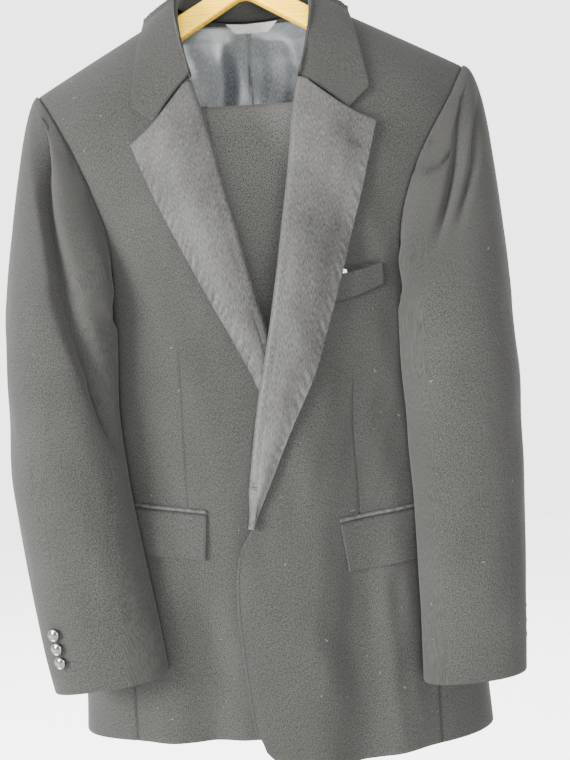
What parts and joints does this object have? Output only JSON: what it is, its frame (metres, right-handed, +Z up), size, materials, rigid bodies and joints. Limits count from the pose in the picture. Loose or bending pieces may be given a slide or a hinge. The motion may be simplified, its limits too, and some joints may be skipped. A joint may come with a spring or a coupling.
{
  "type": "tuxedo on a hanger",
  "caption": "Two-piece evening suit: single-breasted jacket with notched satin lapels on a wooden hanger, its trousers folded over the bar inside.",
  "frame": {"origin": "the point where the hook is held, inside the top of its bend", "axes": "+Z up, -Y the jacket's front, +X the wearer's left"},
  "size_m": [0.5336, 0.1778, 0.9382],
  "materials": {
    "wool": "charcoal-black suiting, matt",
    "satin": "black satin facing, soft sheen",
    "lining": "blue-grey satin lining",
    "label": "bare woven label",
    "button": "black, domed, polished",
    "varnished_wood": "pale varnished beech",
    "hook_steel": "polished steel wire"
  },
  "bodies": {
    "root": {"front_right": "wool", "side_body_right": "wool", "back_right": "wool", "top_sleeve_right": "wool", "under_sleeve_right": "wool", "pocket_flap_right": "wool", "lapel_right": "satin", "pocket_jet_right": "satin", "trouser_leg_right": "wool", "cuff_button_right_1": "button", "cuff_button_right_2": "button", "cuff_button_right_3": "button", "front_left": "wool", "side_body_left": "wool", "back_left": "wool", "top_sleeve_left": "wool", "under_sleeve_left": "wool", "pocket_flap_left": "wool", "lapel_left": "satin", "pocket_jet_left": "satin", "trouser_leg_left": "wool", "cuff_button_left_1": "button", "cuff_button_left_2": "button", "cuff_button_left_3": "button", "collar": "wool", "breast_pocket_welt": "wool", "back_lining": "lining", "neck_label": "label", "trouser_stripe": "satin", "trouser_waistband": "wool", "hanger_arms": "varnished_wood", "hanger_bar": "varnished_wood", "hanger_hook": "hook_steel"}
  },
  "joints": []
}
